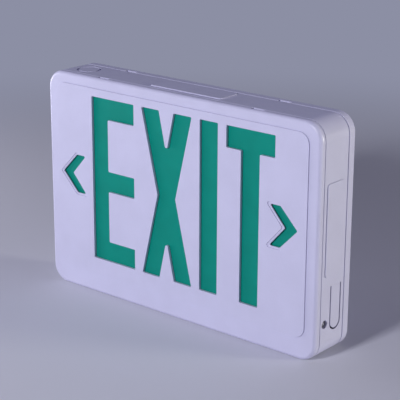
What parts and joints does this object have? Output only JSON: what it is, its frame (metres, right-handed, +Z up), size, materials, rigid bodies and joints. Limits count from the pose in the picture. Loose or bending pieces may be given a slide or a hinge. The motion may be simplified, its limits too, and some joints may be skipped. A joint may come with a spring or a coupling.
{
  "type": "emergency exit light",
  "caption": "Flat white wall-mounted exit sign with a stencilled legend over a green panel, two direction chevrons, battery back-up inside and a push-to-test tab.",
  "frame": {"origin": "middle of the housing's underside, centred in width and depth", "axes": "+Z up, the legend faces -Y, the test tab is on the +X end"},
  "size_m": [0.3066, 0.0486, 0.2048],
  "materials": {
    "front_cover": "moulded ABS, light satin gloss",
    "green_panel": "translucent green acrylic sheet",
    "diffuser_sheet": "opal acrylic sheet",
    "housing_frame": "moulded ABS, light satin gloss",
    "back_cover": "moulded ABS, light satin gloss",
    "test_tab": "moulded ABS, light satin gloss",
    "side_board": "green solder mask",
    "switch_body": "black moulded case",
    "switch_plunger": "natural nylon",
    "charge_lamp": "water-clear epoxy, smoked in the hole",
    "lamp_holder": "dark nylon",
    "reflector": "white moulded tray",
    "light_bar_lower": "white-masked metal-core board",
    "light_bar_upper": "white-masked metal-core board",
    "emitters_lower": "white case with yellow phosphor",
    "emitters_upper": "white case with yellow phosphor",
    "reflector_screws": "zinc plated",
    "bar_screws": "zinc plated",
    "main_board": "green solder mask",
    "board_screws": "zinc plated",
    "capacitors": "dark sleeve, bare aluminium top",
    "relay": "blue case",
    "control_chip": "black epoxy with tinned legs",
    "terminal_block": "green nylon",
    "terminal_screws": "nickel plated",
    "board_headers": "natural nylon",
    "transformer_core": "varnished laminations",
    "transformer_coil": "yellow tape over copper",
    "transformer_bracket": "zinc plated",
    "transformer_screws": "zinc plated",
    "battery_cells": "nickel-plated cans",
    "battery_wrap": "blue shrink sleeve",
    "battery_strap": "moulded ABS",
    "strap_screws": "zinc plated",
    "battery_lead": "PVC insulated pair",
    "bar_lead": "PVC insulated pair",
    "side_lead": "PVC insulated pair"
  },
  "bodies": {
    "housing": {"front_cover": "front_cover", "green_panel": "green_panel", "diffuser_sheet": "diffuser_sheet", "housing_frame": "housing_frame", "back_cover": "back_cover", "side_board": "side_board", "switch_body": "switch_body", "charge_lamp": "charge_lamp", "lamp_holder": "lamp_holder", "reflector": "reflector", "light_bar_lower": "light_bar_lower", "light_bar_upper": "light_bar_upper", "emitters_lower": "emitters_lower", "emitters_upper": "emitters_upper", "reflector_screws": "reflector_screws", "bar_screws": "bar_screws", "main_board": "main_board", "board_screws": "board_screws", "capacitors": "capacitors", "relay": "relay", "control_chip": "control_chip", "terminal_block": "terminal_block", "terminal_screws": "terminal_screws", "board_headers": "board_headers", "transformer_core": "transformer_core", "transformer_coil": "transformer_coil", "transformer_bracket": "transformer_bracket", "transformer_screws": "transformer_screws", "battery_cells": "battery_cells", "battery_wrap": "battery_wrap", "battery_strap": "battery_strap", "strap_screws": "strap_screws", "battery_lead": "battery_lead", "bar_lead": "bar_lead", "side_lead": "side_lead"},
    "test_tab": {"test_tab": "test_tab"},
    "plunger": {"switch_plunger": "switch_plunger"}
  },
  "joints": [
    {"name": "test_tab_hinge", "type": "hinge", "parent": "housing", "child": "test_tab", "pos_m": [0.1525, 0.00325, 0.0634], "axis": [0, 1, 0], "range_deg": [0, 3.5], "stiffness_Nm_per_rad": 0.84},
    {"name": "plunger_slide", "type": "slide", "parent": "housing", "child": "plunger", "axis": [-1, 0, 0], "range_m": [0, 0.002]}
  ],
  "couplings": [
    {"joint": "plunger_slide", "follows": "test_tab_hinge", "m_per_rad": 0.0312}
  ]
}
